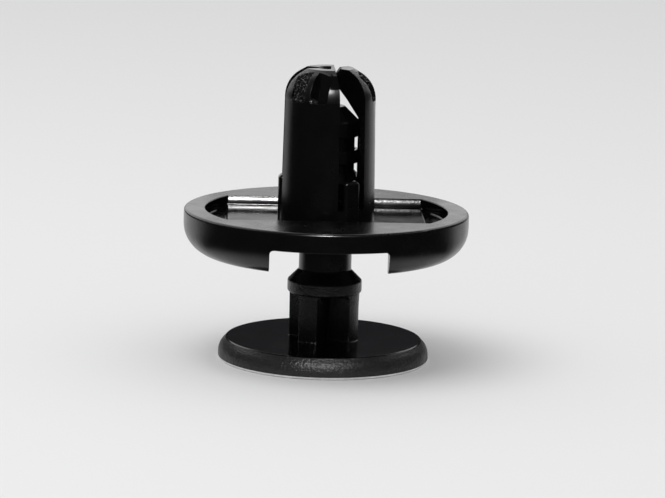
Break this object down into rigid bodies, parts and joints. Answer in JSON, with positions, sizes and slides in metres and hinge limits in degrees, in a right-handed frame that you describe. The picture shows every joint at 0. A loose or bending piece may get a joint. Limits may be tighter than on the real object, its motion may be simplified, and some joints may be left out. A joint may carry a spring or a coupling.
{
  "type": "plastic push rivet",
  "caption": "Black plastic push rivet: a round flanged grommet with a split, round-tipped tube, and a captive pin that is pushed home by its flat round head to spread the tube behind a panel.",
  "frame": {"origin": "centre of the pin head's outer face, the flat face that the rivet stands on at rest, on the rivet's axis", "axes": "+Z along the rivet's axis from the pin's head to the tube's tip, the way the rivet goes into a panel and the pin is pushed; -Y is the front, square to one of the two pry notches; +X completes the right-handed frame and runs through the middle of one leg of the tube"},
  "size_m": [0.0216, 0.0216, 0.0223],
  "materials": {
    "grommet_nylon": "black moulded nylon: satin outside, glossy seat face and recess floor, fine spark-eroded grain on the recess walls",
    "pin_nylon": "black moulded nylon: satin, with a fine grain on the collar and light handling scratches on the head's bevel"
  },
  "bodies": {
    "grommet": {"grommet": "grommet_nylon"},
    "pin": {"push_pin": "pin_nylon"}
  },
  "joints": [
    {"name": "pin_push", "type": "slide", "parent": "grommet", "child": "pin", "axis": [0, 0, 1], "range_m": [0, 0.0081], "deforming": ["grommet"]}
  ]
}
